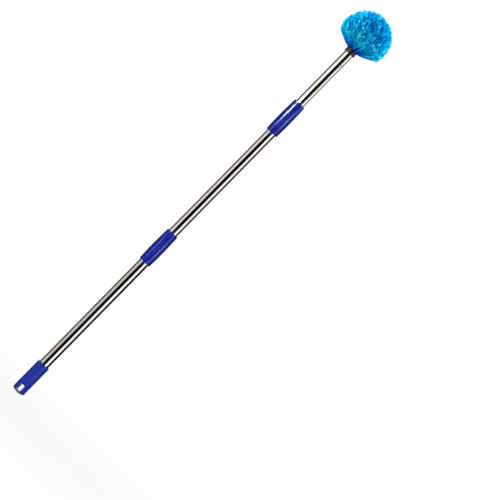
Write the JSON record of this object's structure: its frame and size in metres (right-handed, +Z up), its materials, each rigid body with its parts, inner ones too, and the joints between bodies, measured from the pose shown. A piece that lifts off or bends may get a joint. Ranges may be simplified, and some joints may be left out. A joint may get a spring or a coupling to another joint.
{
  "type": "extendable cobweb duster",
  "caption": "Telescopic steel pole with twist locks, blue grips, a domed end cap with a hanging slot, and a ball of blue bristles for sweeping cobwebs.",
  "frame": {"origin": "middle of the end cap's flat foot", "axes": "+Z runs up the pole from the end cap to the bristles, and the hanging slot runs through the end cap along Y"},
  "size_m": [0.1181, 0.1171, 1.1666],
  "materials": {
    "tube_steel": "polished stainless steel",
    "grip_plastic": "royal blue, smooth moulded gloss",
    "block_plastic": "black, satin moulded",
    "bristle_filament": "bright blue crimped filament with pale tips",
    "pale_nylon": "natural nylon",
    "grey_nylon": "grey nylon",
    "plated_steel": "zinc plated"
  },
  "bodies": {
    "handle": {"end_cap": "grip_plastic", "lower_tube": "tube_steel", "lower_collar": "grip_plastic"},
    "lower_lock": {"lower_lock_sleeve": "pale_nylon"},
    "lower_nut": {"lower_lock_nut": "grey_nylon"},
    "middle_section": {"middle_tube": "tube_steel", "lower_lock_plug": "grey_nylon", "lower_lock_spindle": "plated_steel", "lower_lock_stop": "plated_steel", "upper_collar": "grip_plastic"},
    "upper_lock": {"upper_lock_sleeve": "pale_nylon"},
    "upper_nut": {"upper_lock_nut": "grey_nylon"},
    "top_section": {"top_tube": "tube_steel", "upper_lock_plug": "grey_nylon", "upper_lock_spindle": "plated_steel", "upper_lock_stop": "plated_steel", "brush_block": "block_plastic", "head_screw": "plated_steel", "bristles_right_back": "bristle_filament", "bristles_left_back": "bristle_filament", "bristles_left_front": "bristle_filament", "bristles_right_front": "bristle_filament"}
  },
  "joints": [
    {"name": "middle_slide", "type": "slide", "parent": "handle", "child": "lower_lock", "axis": [0, 0, 1], "range_m": [-0.312, 0]},
    {"name": "middle_twist", "type": "hinge", "parent": "lower_lock", "child": "middle_section", "pos_m": [0, 0, 0.37], "axis": [0, 0, 1], "range_deg": [0, 270]},
    {"name": "lower_nut_climb", "type": "slide", "parent": "lower_lock", "child": "lower_nut", "axis": [0, 0, 1], "range_m": [-0.0023, 0]},
    {"name": "top_slide", "type": "slide", "parent": "middle_section", "child": "upper_lock", "axis": [0, 0, 1], "range_m": [-0.118, 0.15]},
    {"name": "top_twist", "type": "hinge", "parent": "upper_lock", "child": "top_section", "pos_m": [0, 0, 0.63], "axis": [0, 0, 1], "range_deg": [0, 270]},
    {"name": "upper_nut_climb", "type": "slide", "parent": "upper_lock", "child": "upper_nut", "axis": [0, 0, 1], "range_m": [-0.0023, 0]}
  ],
  "couplings": [
    {"joint": "lower_nut_climb", "follows": "middle_twist", "m_per_rad": -0.00047746},
    {"joint": "upper_nut_climb", "follows": "top_twist", "m_per_rad": -0.00047746}
  ]
}
